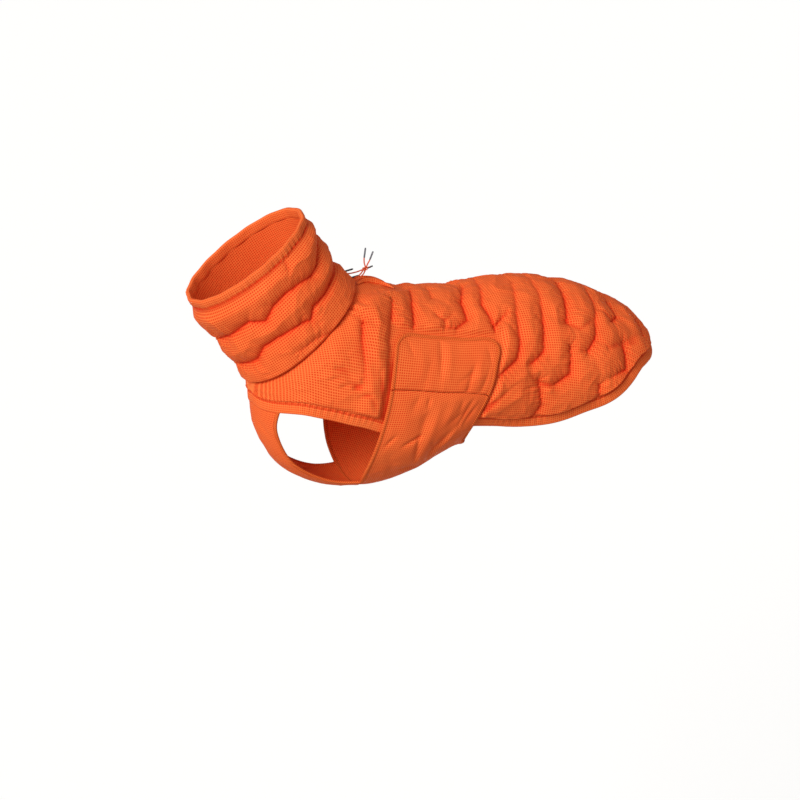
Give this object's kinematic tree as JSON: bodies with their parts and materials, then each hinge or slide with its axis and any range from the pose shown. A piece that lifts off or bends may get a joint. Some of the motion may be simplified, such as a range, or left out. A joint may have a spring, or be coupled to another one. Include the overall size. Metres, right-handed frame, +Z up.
{
  "type": "dog winter coat",
  "caption": "Quilted winter coat for a dog, filled out as worn, with a roll collar, chest bib, belly band with closure tabs and a knotted elastic drawcord.",
  "frame": {"origin": "inner side of the back panel on its centre line, behind the shoulders, where the coat rests on its wearer", "axes": "+X to the tail, -X to the head, -Y to the coat's left side, +Z up"},
  "size_m": [0.6562, 0.2374, 0.3826],
  "materials": {
    "ripstop_shell": "padded fine ripstop weave with a soft sheen",
    "edge_trim": "folded and corded edges in the same cloth",
    "elastic_cord": "round braided elastic cord",
    "grey_cord_tip": "shrunk sleeve",
    "black_cord_barb": "moulded cord end"
  },
  "bodies": {
    "root": {"back_panel": "ripstop_shell", "hem_casing": "edge_trim", "collar": "ripstop_shell", "collar_rim_casing": "edge_trim", "chest_bib": "ripstop_shell", "belly_band": "ripstop_shell", "left_closure_tab": "ripstop_shell", "right_closure_tab": "ripstop_shell", "left_tab_binding": "edge_trim", "right_tab_binding": "edge_trim", "belly_front_binding": "edge_trim", "belly_rear_binding": "edge_trim", "left_bib_binding": "edge_trim", "right_bib_binding": "edge_trim", "left_slit_lip": "edge_trim", "right_slit_lip": "edge_trim", "drawcord_near": "elastic_cord", "drawcord_far": "elastic_cord", "drawcord_shade": "elastic_cord", "drawcord_knot": "elastic_cord", "drawcord_tall_end": "elastic_cord", "drawcord_leaning_end": "elastic_cord", "tall_tip": "grey_cord_tip", "leaning_tip": "grey_cord_tip", "short_tip": "black_cord_barb", "near_barb": "black_cord_barb", "far_barb": "black_cord_barb"}
  },
  "joints": []
}
